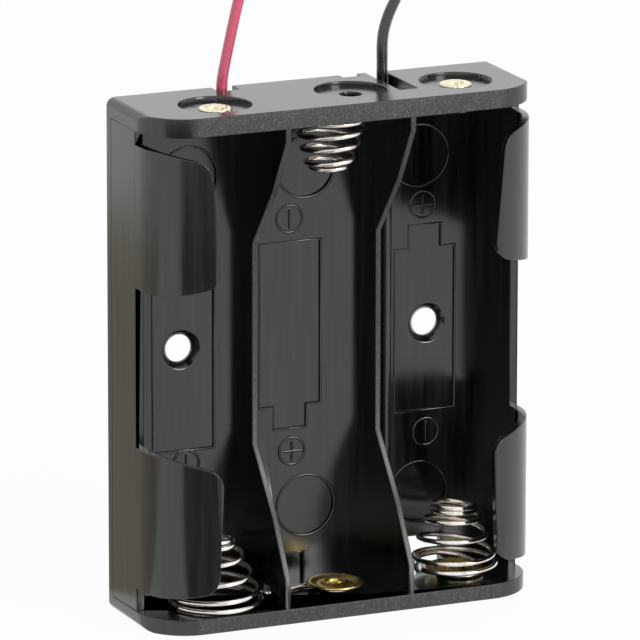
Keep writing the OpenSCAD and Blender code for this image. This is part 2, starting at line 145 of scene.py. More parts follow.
def build_floor():
    """The table, which is matt for the light it sends on and nearly plain white to look at."""
    material, tree, shader, output = new_material("white_table")
    shader.inputs["Base Color"].default_value = (TABLE_TONE, TABLE_TONE, TABLE_TONE, 1)
    shader.inputs["Roughness"].default_value = TABLE_ROUGHNESS
    share = maths(tree, "MULTIPLY", looked_at(tree), WHITE_SHARE)
    glow = add_node(tree, "ShaderNodeEmission", Color=(1, 1, 1, 1), Strength=1.0)
    surface = add_node(tree, "ShaderNodeMixShader", i0=share, i1=shader.outputs[0],
                       i2=glow.outputs[0])
    tree.links.new(surface.outputs[0], output.inputs["Surface"])
    corners = [(x * TABLE_HALF, y * TABLE_HALF, 0)
               for x, y in ((-1, -1), (1, -1), (1, 1), (-1, 1))]
    mesh = bpy.data.meshes.new("floor")
    mesh.from_pydata(corners, [], [(0, 1, 2, 3)])
    new_piece("floor", mesh, material)


def build_tent():
    world = bpy.data.worlds.new("light_tent")
    bpy.context.scene.world = world
    world.use_nodes = True
    tree = world.node_tree
    back = tree.nodes["Background"]
    back.inputs["Color"].default_value = (1, 1, 1, 1)
    strength = ranged(tree, looked_at(tree), 0.0, 1.0, TENT_LEVEL, 1.0)
    tree.links.new(strength, back.inputs["Strength"])


def add_painted_reflection(name, first, last, near, far, colour):
    """A glowing sheet lying on the table that only gloss and metal see: a painted reflection.

    It reaches from the bearing first to last, in degrees from the front, and from near to far.
    """
    material, tree, _, output = new_material(name)
    glow = add_node(tree, "ShaderNodeEmission", Color=(*colour, 1), Strength=1.0)
    tree.links.new(glow.outputs[0], output.inputs["Surface"])
    lift = Vector((0, 0, SHEET_LIFT))
    points, faces = [], []
    for i in range(SHEET_STEPS + 1):
        angle = radians(first + (last - first) * i / SHEET_STEPS)
        way = Vector((sin(angle), -cos(angle), 0))
        points += [way * near + lift, way * far + lift]
        if i:
            faces.append((2 * i - 2, 2 * i - 1, 2 * i + 1, 2 * i))
    mesh = bpy.data.meshes.new(name)
    mesh.from_pydata(points, [], faces)
    sheet = new_piece(name, mesh, material)
    for ray in ("camera", "diffuse", "transmission", "shadow", "volume_scatter"):
        setattr(sheet, "visible_" + ray, False)


def add_lamp(name, place, aim, width, power):
    light = bpy.data.lights.new(name, "AREA")
    light.size = width
    light.energy = power
    lamp = bpy.data.objects.new(name, light)
    lamp.location = place
    lamp.rotation_euler = (Vector(aim) - Vector(place)).to_track_quat("-Z", "Y").to_euler()
    bpy.context.scene.collection.objects.link(lamp)


place_camera()
build_floor()
build_tent()
# Painted reflections: two glowing sheets that only gloss and metal see.
add_painted_reflection("painted_dark_reflection", first=-64, last=-10, near=0.03, far=0.32, colour=PAINTED_DARK_REFLECTION_TONE)
add_painted_reflection("painted_beige_reflection", first=-175, last=-100, near=0.03, far=0.21, colour=PAINTED_BEIGE_REFLECTION_TONE)
add_lamp("soft_key", place=(0.3, -0.6, 0.3), aim=(0, 0, 0.03), width=0.3, power=2.5)
add_lamp("soft_back", place=(0.25, 0.7, 0.35), aim=(0, 0, 0.05), width=0.5, power=0.15)
bpy.context.scene.view_settings.view_transform = "Standard"


# ---- Free leads ----
# Two PVC-insulated stranded wires, red and black, 1.25 mm over the insulation and 150 mm long.
# Each leaves through the top end wall, bends over and hangs down behind the holder to a flat
# coil of a turn and a half on the table, where its stripped and tinned end lies.
LEAD_DIAMETER = 0.00125
LEAD_TOP = 0.07407  # height that no lead's middle rises above
LEAD_STEPS = 6
TABLE_GAP = 0.00001
LEAD_REST = LEAD_DIAMETER / 2 + TABLE_GAP  # height of its middle where it lies on the table
TINNED_DIAMETER = 0.0007
TINNED_LENGTH = 0.005
TINNED_REST = TINNED_DIAMETER / 2 + TABLE_GAP
STRAND_STEPS = 24
STRAND_TWIST = 1.1  # turns over the tinned length
STRAND_SWELL = 1.06  # the strands are a little thicker than their share, so that they touch
LEAD_DROP = 0.0027  # height of the bend from hanging to lying
COIL_START_RADIUS = 0.00717
COIL_STEP = 0.0013
COIL_END_ANGLE = radians(113)
COIL_TURN_IN = radians(34)
COIL_TUCK = 0.0024  # how strongly the last part of the coil turns inwards
COIL_STEPS = 96

RED_ROUTE = [
    (-0.0102, 0.007345, 0.0596), (-0.0102, 0.007345, 0.0602), (-0.01005, 0.0073, 0.0613),
    (-0.00975, 0.0073, 0.0627), (-0.0093, 0.0073, 0.0647), (-0.0088, 0.0073, 0.0669),
    (-0.0082, 0.0073, 0.0693), (-0.0075, 0.0073, 0.0718), (-0.007, 0.00765, 0.0731),
    (-0.00635, 0.00855, 0.07395), (-0.0057, 0.0098, 0.0741), (-0.00525, 0.01105, 0.0736),
    (-0.0051, 0.01195, 0.0725), (-0.0053, 0.0123, 0.0711), (-0.0061, 0.0123, 0.0681),
    (-0.00685, 0.0123, 0.065), (-0.0075, 0.0123, 0.062), (-0.008, 0.0123, 0.059),
    (-0.0081, 0.0123, 0.054), (-0.008, 0.0123, 0.048), (-0.0079, 0.0123, 0.042),
    (-0.0078, 0.0123, 0.036), (-0.0077, 0.0123, 0.03), (-0.0076, 0.0123, 0.024),
    (-0.0075, 0.0123, 0.018), (-0.0074, 0.0123, 0.012), (-0.0074, 0.0123, 0.006),
    (-0.0074, 0.0123, 0.00127),
]
BLACK_ROUTE = [
    (0.0095, 0.007195, 0.0596), (0.0095, 0.007195, 0.0602), (0.0095, 0.0072, 0.0614),
    (0.0095, 0.0072, 0.0629), (0.0097, 0.0072, 0.0646), (0.0103, 0.0072, 0.0664),
    (0.0111, 0.0072, 0.068), (0.012, 0.0072, 0.0698), (0.0129, 0.0072, 0.0715),
    (0.0136, 0.00755, 0.0727), (0.01445, 0.0085, 0.07345), (0.01515, 0.00975, 0.0735),
    (0.01555, 0.01105, 0.07285), (0.0155, 0.01195, 0.0717), (0.0151, 0.0123, 0.0703),
    (0.0143, 0.0123, 0.0684), (0.0134, 0.0123, 0.0667), (0.0125, 0.0123, 0.0648),
    (0.01195, 0.0123, 0.0627), (0.01185, 0.0123, 0.06), (0.0118, 0.0123, 0.057),
    (0.0116, 0.0123, 0.052), (0.0113, 0.0123, 0.046), (0.011, 0.0123, 0.04),
    (0.0106, 0.0123, 0.034), (0.0102, 0.0123, 0.028), (0.0098, 0.0123, 0.022),
    (0.0093, 0.0123, 0.016), (0.009, 0.0123, 0.011), (0.0088, 0.0123, 0.006),
    (0.0088, 0.0123, 0.00127),
]
RED_COIL = Vector((-0.011, 0.0185, 0))
BLACK_COIL = Vector((0.0052, 0.0185, 0))


def between(a, b, c, d, t):
    """The smooth value at the share t of the way from b to c, a coming before them, d after."""
    return 0.5 * (2 * b + (c - a) * t + (2 * a - 5 * b + 4 * c - d) * t * t
                  + (3 * b - a - 3 * c + d) * t ** 3)


def smooth_path(points, steps):
    """Points on a smooth curve through the given ones."""
    points = [Vector(p) for p in points]
    knots = [2 * points[0] - points[1]] + points + [2 * points[-1] - points[-2]]
    path = []
    for a, b, c, d in zip(knots, knots[1:], knots[2:], knots[3:]):
        path += [between(a, b, c, d, i / steps) for i in range(steps)]
    return path + [points[-1]]


def coil_path(centre, start):
    """The lead's flat coil, clockwise and inwards, from where it comes down to its end."""
    radial = start - centre
    first = Vector((radial.x, radial.y, 0)).to_2d().angle_signed(Vector((1, 0)))
    total = (first - COIL_END_ANGLE) % (2 * pi) + 2 * pi
    path = []
    for i in range(1, COIL_STEPS + 1):
        swept = total * i / COIL_STEPS
        last = max(0.0, swept - total + COIL_TURN_IN)
        radius = COIL_START_RADIUS - COIL_STEP * swept / (2 * pi) - COIL_TUCK * last ** 2
        angle = first - swept
        along = min(1.0, radius * swept / LEAD_DROP)
        height = LEAD_REST + LEAD_DROP * (1 - (1 - (1 - along) ** 2) ** 0.5)
        path.append(centre + Vector((radius * cos(angle), radius * sin(angle), height)))
    return path


def mixed_colour(tree, share, first, second):
    node = add_node(tree, "ShaderNodeMix", {"data_type": "RGBA"}, i0=share, i6=first, i7=second)
    return node.outputs[2]


def clouded_finish():
    """Shader group for a finish that clouds between two tones and two degrees of gloss.

    The insulation, the tin, the nickel and the brass use it, each with its own values.
    """
    tree = bpy.data.node_groups.new("clouded_finish", "ShaderNodeTree")
    for name, kind in (("Place", "Vector"), ("Dark", "Color"), ("Light", "Color"),
                       ("Cloud scale", "Float"), ("Cloud detail", "Float"),
                       ("Tone start", "Float"), ("Tone end", "Float"),
                       ("Smoothest", "Float"), ("Roughest", "Float"),
                       ("Fine scale", "Float"), ("Fine detail", "Float")):
        tree.interface.new_socket(name, in_out="INPUT", socket_type="NodeSocket" + kind)
    for name, kind in (("Color", "Color"), ("Roughness", "Float"), ("Height", "Float")):
        tree.interface.new_socket(name, in_out="OUTPUT", socket_type="NodeSocket" + kind)
    given = tree.nodes.new("NodeGroupInput").outputs
    cloud = add_node(tree, "ShaderNodeTexNoise", Vector=given["Place"],
                     Scale=given["Cloud scale"], Detail=given["Cloud detail"]).outputs["Fac"]
    fine = add_node(tree, "ShaderNodeTexNoise", Vector=given["Place"],
                    Scale=given["Fine scale"], Detail=given["Fine detail"]).outputs["Fac"]
    share = ranged(tree, cloud, given["Tone start"], given["Tone end"])
    colour = mixed_colour(tree, share, given["Dark"], given["Light"])
    rough = ranged(tree, cloud, 0.0, 1.0, given["Smoothest"], given["Roughest"])
    add_node(tree, "NodeGroupOutput", Color=colour, Roughness=rough, Height=fine)
    return tree


CLOUDED_FINISH = clouded_finish()


def finished_material(name, dark, light, cloud, tones, gloss, fine, relief, metal):
    """A clouded material: (material, tree, shader, place, colour).

    cloud and fine are each a scale and a detail, and tones is the part of the cloud over which
    dark turns to light. gloss is the least and the most roughness, relief a strength and depth.
    """
    material, tree, shader, _ = new_material(name)
    place = tree.nodes.new("ShaderNodeTexCoord").outputs["Object"]
    finish = add_node(
        tree, "ShaderNodeGroup", {"node_tree": CLOUDED_FINISH}, Place=place,
        Dark=(*dark, 1), Light=(*light, 1), Cloud_scale=cloud[0], Cloud_detail=cloud[1],
        Tone_start=tones[0], Tone_end=tones[1], Smoothest=gloss[0], Roughest=gloss[1],
        Fine_scale=fine[0], Fine_detail=fine[1]).outputs
    bump = add_node(tree, "ShaderNodeBump", Strength=relief[0], Distance=relief[1],
                    Height=finish["Height"])
    tree.links.new(finish["Color"], shader.inputs["Base Color"])
    tree.links.new(finish["Roughness"], shader.inputs["Roughness"])
    tree.links.new(bump.outputs["Normal"], shader.inputs["Normal"])
    shader.inputs["Metallic"].default_value = metal
    return material, tree, shader, place, finish["Color"]


def pvc_material(name, colour, clear):
    """Soft glossy insulation, slightly clouded; clear is how far light goes into it."""
    material, _, shader, _, _ = finished_material(
        name, dark=[c * 0.8 for c in colour], light=[min(1, c * 1.25 + 0.004) for c in colour],
        cloud=(600.0, 3.0), tones=(0.0, 1.0), gloss=(0.2, 0.34), fine=(2600.0, 2.0),
        relief=(0.12, 0.00005), metal=0.0)
    shader.inputs["Subsurface Weight"].default_value = clear
    shader.inputs["Subsurface Radius"].default_value = (0.0006, 0.0002, 0.0002)
    shader.inputs["Subsurface Scale"].default_value = 1.0
    shader.inputs["Coat Weight"].default_value = 0.8
    shader.inputs["Coat Roughness"].default_value = 0.1
    return material


def tin_material():
    """Dull tin over copper strands."""
    return finished_material(
        "tinned_strands", dark=(0.42, 0.41, 0.4), light=(0.68, 0.67, 0.65),
        cloud=(1800.0, 4.0), tones=(0.0, 1.0), gloss=(0.28, 0.5), fine=(1800.0, 4.0),
        relief=(0.3, 0.00004), metal=1.0)[0]


def lead_curve(name, path, material):
    """A round lead as one open spline through the path."""
    curve = bpy.data.curves.new(name, "CURVE")
    curve.dimensions = "3D"
    curve.bevel_depth = LEAD_DIAMETER / 2
    curve.bevel_resolution = 5
    curve.use_fill_caps = True
    spline = curve.splines.new("POLY")
    spline.points.add(len(path) - 1)
    for point, place in zip(spline.points, path):
        point.co = (*place, 1)
    return new_piece(name, curve, material)


def wire_tree():
    """Geometry nodes that dress a path of edges as round wire."""
    tree = bpy.data.node_groups.new("wire_along_path", "GeometryNodeTree")
    for name, kind in (("Geometry", "Geometry"), ("Wire diameter", "Float"), ("Sides", "Int"),
                       ("Finish", "Material")):
        tree.interface.new_socket(name, in_out="INPUT", socket_type="NodeSocket" + kind)
    tree.interface.new_socket("Geometry", in_out="OUTPUT", socket_type="NodeSocketGeometry")
    given = tree.nodes.new("NodeGroupInput").outputs
    path = add_node(tree, "GeometryNodeMeshToCurve", Mesh=given["Geometry"])
    ring = add_node(tree, "GeometryNodeCurvePrimitiveCircle", Resolution=given["Sides"],
                    Radius=maths(tree, "MULTIPLY", given["Wire diameter"], 0.5))
    wire = add_node(tree, "GeometryNodeCurveToMesh", Curve=path.outputs["Curve"],
                    Profile_Curve=ring.outputs["Curve"], Fill_Caps=True)
    smooth = add_node(tree, "GeometryNodeSetShadeSmooth", Geometry=wire.outputs["Mesh"])
    real = add_node(tree, "GeometryNodeRealizeInstances", Geometry=smooth.outputs["Geometry"])
    finish = add_node(tree, "GeometryNodeSetMaterial", Geometry=real.outputs["Geometry"],
                      Material=given["Finish"])
    add_node(tree, "NodeGroupOutput", Geometry=finish.outputs["Geometry"])
    return tree


WIRE_TREE = wire_tree()


def wire_net(name, points, edges, diameter, material, sides):
    """Round wire along a net of edges, as a plain mesh."""
    mesh = bpy.data.meshes.new(name + "_path")
    mesh.from_pydata(points, edges, [])
    maker = new_piece(name + "_path", mesh)
    modifier = maker.modifiers.new("wire", "NODES")
    modifier.node_group = WIRE_TREE
    values = {"Wire diameter": diameter, "Sides": sides, "Finish": material}
    for item in WIRE_TREE.interface.items_tree:
        if item.item_type == "SOCKET" and item.in_out == "INPUT" and item.name in values:
            modifier[item.identifier] = values[item.name]
    graph = bpy.context.evaluated_depsgraph_get()
    made = bpy.data.meshes.new_from_object(maker.evaluated_get(graph), depsgraph=graph)
    made.name = name
    bpy.data.objects.remove(maker)
    return new_piece(name, made)


def wire_piece(name, paths, diameter, material, sides):
    """Round wire along one or more paths; one that comes back to its start is closed."""
    points = [p for path in paths for p in path]
    edges = []
    base = 0
    for path in paths:
        edges += [(base + i, base + i + 1) for i in range(len(path) - 1)]
        if (Vector(path[0]) - Vector(path[-1])).length < diameter:
            edges.append((base + len(path) - 1, base))
        base += len(path)
    return wire_net(name, points, edges, diameter, material, sides)


def tinned_end(name, start, along):
    """Seven strands, six twisted round one, where the insulation is stripped off."""
    up = Vector((0, 0, 1))
    across = along.cross(up).normalized()
    strand = TINNED_DIAMETER / 3
    straight = STRAND_STEPS // 2
    paths = [[start + along * TINNED_LENGTH * i / straight for i in range(straight + 1)]]
    for k in range(6):
        path = []
        for i in range(STRAND_STEPS + 1):
            turn = 2 * pi * (k / 6 + STRAND_TWIST * i / STRAND_STEPS)
            side = across * cos(turn) + up * sin(turn)
            path.append(start + along * TINNED_LENGTH * i / STRAND_STEPS + side * strand)
        paths.append(path)
    return wire_piece(name, paths, strand * STRAND_SWELL, TIN, sides=8)


def dress_lead(colour, route, coil, material):
    """A free lead with its tinned end, in place of the plain tube, ring and pin."""
    fall = [p for p in route if p[2] > LEAD_DROP + LEAD_DIAMETER]
    down = Vector((*route[-1][:2], LEAD_DROP + LEAD_REST))
    path = smooth_path(fall + [down], LEAD_STEPS) + coil_path(coil, down)
    for point in path:
        point.z = min(point.z, LEAD_TOP)
    lead = lead_curve(colour + "_free_lead", path, material)
    along = path[-1] - path[-2]
    along.z = 0
    tip = Vector((*path[-1][:2], TINNED_REST))
    end = tinned_end(colour + "_tinned_end", tip, along.normalized())
    for piece in (lead, end):
        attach(piece, "root")
    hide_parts(colour + "_lead", colour + "_lead_coil")
    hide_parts(colour + "_lead_end")


TIN = tin_material()
RED_PVC = pvc_material("red_insulation", (0.68, 0.085, 0.17), 0.4)
BLACK_PVC = pvc_material("black_insulation", (0.012, 0.012, 0.012), 0.0)
dress_lead("red", RED_ROUTE, RED_COIL, RED_PVC)
dress_lead("black", BLACK_ROUTE, BLACK_COIL, BLACK_PVC)


# ---- Leads inside the holder ----
# The same two leads, from their solder joints to the notches they leave by. The red one is
# short and bends up to its notch, and the black one runs the height of the right bay.
INNER_STEPS = 10
RED_INNER_MM = [
    (-10.45, 4.095, 56.2), (-10.3, 4.745, 55.8), (-10.2, 6.32, 56.2), (-10.2, 7.045, 57.4),
    (-10.2, 7.345, 59.0), (-10.2, 7.345, 59.6),
]
BLACK_INNER_MM = [
    (9.68, -0.255, 3.4), (9.4, 2.4, 4.4), (9.3, 4.6, 6), (9.6, 5.9, 9), (9.7, 6.3, 13),
    (9.7, 6.3, 22), (9.7, 6.3, 30), (9.7, 6.3, 42), (9.7, 6.3, 54), (9.5, 7.195, 57.4),
    (9.5, 7.195, 59.0), (9.5, 7.195, 59.6),
]


def inner_lead(colour, route_mm, material):
    points = [[c / 1000 for c in point] for point in route_mm]
    path = smooth_path(points, INNER_STEPS)
    lead = wire_piece(colour + "_inner_lead", [path], LEAD_DIAMETER, material, sides=20)
    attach(lead, "root")
    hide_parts(colour + "_lead_inner")


inner_lead("red", RED_INNER_MM, RED_PVC)
inner_lead("black", BLACK_INNER_MM, BLACK_PVC)


# ---- Housing ----
# One moulding in black polystyrene: the floor with its sunk cell outlines, both end walls,
# the side walls with their curled lips and the two dividers. Satin, faintly streaked by the
# flow of the melt, with a fine grain on the rims and along the dividers' edges, whose pale
# speckles are part dust and part painted sheen where the front light falls on the rims.
RIM_Y = -0.005755
RIM_NEAR = 0.00006  # the rims' grain is full this near to their plane, and ends at RIM_FAR
RIM_FAR = 0.0002
DIVIDER_X = 0.00765
DIVIDER_TOP_Y = 0.0055
DIVIDER_NEAR = 0.0004  # the same, from the dividers' middles
DIVIDER_FAR = 0.0005
FLOW_SCALE = 1300.0
FLOW_STRETCH = 0.06
GRAIN_SCALE = 4600.0
PLASTIC_DARK = (0.0005, 0.0005, 0.0004, 1)
PLASTIC_STREAK = (0.013, 0.013, 0.012, 1)
# Pale speckle colour: part dust, part painted sheen of the front light on the rims.
PLASTIC_DUST_AND_SHEEN = (0.09, 0.09, 0.08, 1)
RIM_ROUGHNESS = 0.42
HOUSING_EASE = 0.00012
WELD = 2e-6
FLAT_EDGE = radians(0.5)
EASED_EDGE = radians(35)
SHARP_EDGE = radians(50)


def mixed_value(tree, share, first, second):
    node = add_node(tree, "ShaderNodeMix", {"data_type": "FLOAT"}, i0=share, i2=first, i3=second)
    return node.outputs[0]


def rim_mask(tree, place, normal):
    """1 on the front rims and on the dividers' edges, 0 elsewhere."""
    where = add_node(tree, "ShaderNodeSeparateXYZ", Vector=place).outputs
    facing = add_node(tree, "ShaderNodeSeparateXYZ", Vector=normal).outputs["Y"]
    off_rim = maths(tree, "ABSOLUTE", maths(tree, "SUBTRACT", where["Y"], RIM_Y))
    rim = maths(tree, "MULTIPLY", ranged(tree, off_rim, RIM_NEAR, RIM_FAR, 1.0, 0.0),
                ranged(tree, facing, -0.9, -0.98))
    across = maths(tree, "SUBTRACT", maths(tree, "ABSOLUTE", where["X"]), DIVIDER_X)
    on_edge = ranged(tree, maths(tree, "ABSOLUTE", across), DIVIDER_NEAR, DIVIDER_FAR, 1.0, 0.0)
    edge = maths(tree, "MULTIPLY", on_edge, ranged(tree, facing, -0.3, -0.5))
    above_floor = maths(tree, "LESS_THAN", where["Y"], DIVIDER_TOP_Y)
    return maths(tree, "MAXIMUM", rim, maths(tree, "MULTIPLY", edge, above_floor))


def black_plastic():
    material, tree, shader, _ = new_material("black_moulding")
    surface = tree.nodes.new("ShaderNodeTexCoord").outputs
    place = surface["Object"]
    stretch = add_node(tree, "ShaderNodeMapping", Vector=place, Scale=(1.0, 1.0, FLOW_STRETCH))
    flow = add_node(tree, "ShaderNodeTexNoise", Vector=stretch.outputs["Vector"],
                    Scale=FLOW_SCALE, Detail=4.0).outputs["Fac"]
    grain = add_node(tree, "ShaderNodeTexNoise", Vector=place, Scale=GRAIN_SCALE,
                     Detail=3.0).outputs["Fac"]
    rim = rim_mask(tree, place, surface["Normal"])
    streaked = mixed_colour(tree, ranged(tree, flow, 0.38, 0.75), PLASTIC_DARK, PLASTIC_STREAK)
    # Pale speckles on the rims and the dividers' edges: part dust, part painted sheen.
    dust_and_sheen = maths(tree, "MULTIPLY", ranged(tree, grain, 0.52, 0.76), rim)
    colour = mixed_colour(tree, dust_and_sheen, streaked, PLASTIC_DUST_AND_SHEEN)
    rough = mixed_value(tree, rim, ranged(tree, flow, 0.0, 1.0, 0.13, 0.23), RIM_ROUGHNESS)
    relief = maths(tree, "MULTIPLY", grain, ranged(tree, rim, 0.0, 1.0, 0.12, 1.0))
    bump = add_node(tree, "ShaderNodeBump", Strength=0.5, Distance=0.00006, Height=relief)
    tree.links.new(colour, shader.inputs["Base Color"])
    tree.links.new(rough, shader.inputs["Roughness"])
    tree.links.new(bump.outputs["Normal"], shader.inputs["Normal"])
    shader.inputs["IOR"].default_value = 1.55
    shader.inputs["Specular IOR Level"].default_value = 0.72
    return material


def whole_faces(node):
    """A CAD node's shape with its loose triangles joined into whole faces."""
    work = bmesh.new()
    work.from_mesh(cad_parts[node].data)
    bmesh.ops.remove_doubles(work, verts=work.verts, dist=WELD)
    bmesh.ops.dissolve_limit(work, angle_limit=FLAT_EDGE, verts=work.verts, edges=work.edges)
    bmesh.ops.recalc_face_normals(work, faces=work.faces)
    return work


def is_outer(edge, angle):
    """Whether two faces meet at the edge in a ridge steeper than the angle."""
    return edge.is_manifold and edge.is_convex and edge.calc_face_angle() > angle


def eased_copy(name, node, ease, material):
    """A CAD node's shape with its outer edges eased, in place of the node."""
    work = whole_faces(node)
    weight = work.edges.layers.float.new("bevel_weight_edge")
    for edge in work.edges:
        if is_outer(edge, EASED_EDGE):
            edge[weight] = 1.0
    mesh = bpy.data.meshes.new(name)
    work.to_mesh(mesh)
    work.free()
    maker = new_piece(name + "_maker", mesh, material)
    bevel = maker.modifiers.new("ease", "BEVEL")
    bevel.width = ease
    bevel.segments = 2
    bevel.limit_method = "WEIGHT"
    bevel.use_clamp_overlap = False
    graph = bpy.context.evaluated_depsgraph_get()
    eased = bpy.data.meshes.new_from_object(maker.evaluated_get(graph), depsgraph=graph)
    bpy.data.objects.remove(maker)
    eased.name = name
    eased.shade_smooth()
    eased.set_sharp_from_angle(angle=SHARP_EDGE)
    piece = new_piece(name, eased)
    level = piece.modifiers.new("level", "WEIGHTED_NORMAL")
    level.keep_sharp = True
    level.mode = "FACE_AREA"
    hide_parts(node)
    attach(piece, "root")
    return piece


BLACK_PLASTIC = black_plastic()
HOUSING = eased_copy("moulded_housing", "housing", HOUSING_EASE, BLACK_PLASTIC)


# ---- Marks on the bay floors ----
# Part of the same moulding: a round plus or minus mark at each end of each cell's place,
# raised a hair, and a fine ridge along every step down into a sunk outline.
FLOOR_Y = 0.007045
FLOOR_NEAR = 0.00001
BAY_END_X = 0.0224
STEEP_STEP = radians(60)
RIDGE_WIDTH = 0.00034
RIDGE_SUNK = 0.00004
MARK_WIDTH = 0.00036
MARK_RING = 0.00158
MARK_BAR = 0.00118
MARK_SUNK = 0.00004
RING_STEPS = 48
BAR_STEPS = 4
MARKS = [  # place across and along the holder, and whether it is a plus
    (-0.0148, 0.0439, True), (-0.0148, 0.0164, False), (-0.0020, 0.0438, False),
    (-0.0017, 0.0165, True), (0.0146, 0.0439, True), (0.0151, 0.0170, False),
]


def sunk_outlines():
    """Points and edges where the bay floor's face steps down into a sunk outline."""
    work = whole_faces("housing")
    points, edges, places = [], [], {}
    for step in work.edges:
        on_bay_floor = all(abs(corner.co.y - FLOOR_Y) < FLOOR_NEAR
                           and abs(corner.co.x) < BAY_END_X for corner in step.verts)
        if not (on_bay_floor and is_outer(step, STEEP_STEP)):
            continue
        for corner in step.verts:
            if corner.index not in places:
                places[corner.index] = len(points)
                points.append(corner.co + Vector((0, RIDGE_SUNK, 0)))
        edges.append([places[corner.index] for corner in step.verts])
    work.free()
    return points, edges


def on_floor(surface, x, z):
    """A point just under the bay floor's face, behind (x, z)."""
    place, _, _, _ = surface.ray_cast(Vector((x, 0, z)), Vector((0, 1, 0)))
    return place + Vector((0, MARK_SUNK, 0))


def mark_lines(surface, x, z, plus):
    """The ring of a round mark, with its one bar or two."""
    turns = [2 * pi * i / RING_STEPS for i in range(RING_STEPS)]
    reaches = [MARK_BAR * i / BAR_STEPS for i in range(-BAR_STEPS, BAR_STEPS + 1)]
    lines = [[on_floor(surface, x + MARK_RING * sin(turn), z + MARK_RING * cos(turn))
              for turn in turns],
             [on_floor(surface, x, z + reach) for reach in reaches]]
    if plus:
        lines.append([on_floor(surface, x + reach, z) for reach in reaches])
    return lines


floor_face = BVHTree.FromPolygons([v.co.copy() for v in HOUSING.data.vertices],
                                  [tuple(p.vertices) for p in HOUSING.data.polygons])
all_lines = [line for mark in MARKS for line in mark_lines(floor_face, *mark)]
marks = wire_piece("polarity_marks", all_lines, MARK_WIDTH, BLACK_PLASTIC, sides=8)
ridges = wire_net("outline_ridges", *sunk_outlines(), RIDGE_WIDTH, BLACK_PLASTIC, sides=8)
for piece in (marks, ridges):
    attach(piece, "root")


# ---- Contact springs ----
# Right-handed conical springs of 0.6 mm nickel-plated wire, the last turn closed on the one
# below. The two that bridge cells run on as a tail through the divider, and hook round the
# next eyelet's shank; the third hooks round its own. Sizes in this section are in mm.
SPRING_WIRE = 0.0006  # in metres
AXIS_Y = -0.255
BOTTOM_TAIL_Z = 2.15
TOP_TAIL_Z = 57.05
HOOK_RADIUS = 1.85
HOOK_STEPS = 24
FRONT = 246.2  # bearing in degrees at which each turn has its radius and height
TURN_STEPS = 40
CLOSING_TURN = 0.3  # part of a turn after the last one given
TAIL_SHARPNESS = 14  # how quickly the first turn comes in from its tail
WIRE_SPACING = 0.3
EASE_PASSES = 3


def nickel_material():
    """Bright nickel plate, slightly clouded, with a very fine roughness."""
    return finished_material(
        "nickel_plate", dark=(0.66, 0.58, 0.5), light=(0.9, 0.87, 0.83), cloud=(700.0, 4.0),
        tones=(0.3, 0.6), gloss=(0.1, 0.24), fine=(5200.0, 2.0), relief=(0.08, 0.00003),
        metal=1.0)[0]


def along_turns(values, place):
    """A value that passes smoothly through one number a turn."""
    knots = [values[0]] + list(values) + [2 * values[-1] - values[-2]]
    place = min(max(place, 0.0), len(values) - 1.0)
    i = min(int(place), len(values) - 2)
    return between(*knots[i:i + 4], place - i)


def cone_turns(axis, start, hand, radii, heights, reach=0.0, lean=0.0, drift=0.0):
    """The turns from the start angle on; reach is how far the first point stands out to the tail.

    lean tips the upper turns sideways, and drift carries the axis sideways by so much a turn.
    """
    first_front = (hand * (FRONT - start) % 360) / 360
    turns = first_front + len(radii) - 1 + CLOSING_TURN
    steps = int(turns * TURN_STEPS)
    path = []
    for i in range(steps + 1):
        t = turns * i / steps
        place = t - first_front
        radius = along_turns(radii, place)
        if t < 0.25:
            radius += max(0.0, reach - radius) * cos(2 * pi * t) ** TAIL_SHARPNESS
        angle = radians(start + hand * 360 * t)
        tipped = lean * min(1.0, max(0.0, place) / 2) * radius * cos(angle)
        path.append((axis[0] + radius * cos(angle) + drift * max(0.0, place),
                     axis[1] + radius * sin(angle), along_turns(heights, place) + tipped))
    return path


def hook(at, z, first, last):
    """The tail's loop round an eyelet's shank, from one bearing to another."""
    path = []
    for i in range(HOOK_STEPS + 1):
        angle = radians(first + (last - first) * i / HOOK_STEPS)
        path.append((at[0] + HOOK_RADIUS * cos(angle), at[1] + HOOK_RADIUS * sin(angle), z))
    return path


def widening(at, z):
    """The right spring's way from its hook out to its first turn, over the eyelet's flange."""
    path = []
    for i in range(1, 7):
        radius = HOOK_RADIUS + 3.05 * i / 7
        angle = radians(240 + 30 * i)
        path.append((at[0] + 0.1 * i / 7 + radius * cos(angle), at[1] + radius * sin(angle),
                     z + 1.05 * max(0, i - 4) / 3))
    return path


def even_wire(points):
    """The points at an even spacing, with the bends eased."""
    points = [Vector(p) for p in points]
    path, left = [points[0].copy()], WIRE_SPACING
    for a, b in zip(points, points[1:]):
        length = (b - a).length
        while left <= length:
            path.append(a.lerp(b, left / length))
            left += WIRE_SPACING
        left -= length
    path.append(points[-1].copy())
    for _ in range(EASE_PASSES):
        inner = [(a + 2 * b + c) / 4 for a, b, c in zip(path, path[1:], path[2:])]
        path = [path[0]] + inner + [path[-1]]
    return path


def contact_spring(name, node, points):
    path = [p / 1000 for p in even_wire(points)]
    spring = wire_piece(name, [path], SPRING_WIRE, NICKEL, sides=16)
    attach(spring, "root")
    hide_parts(node)


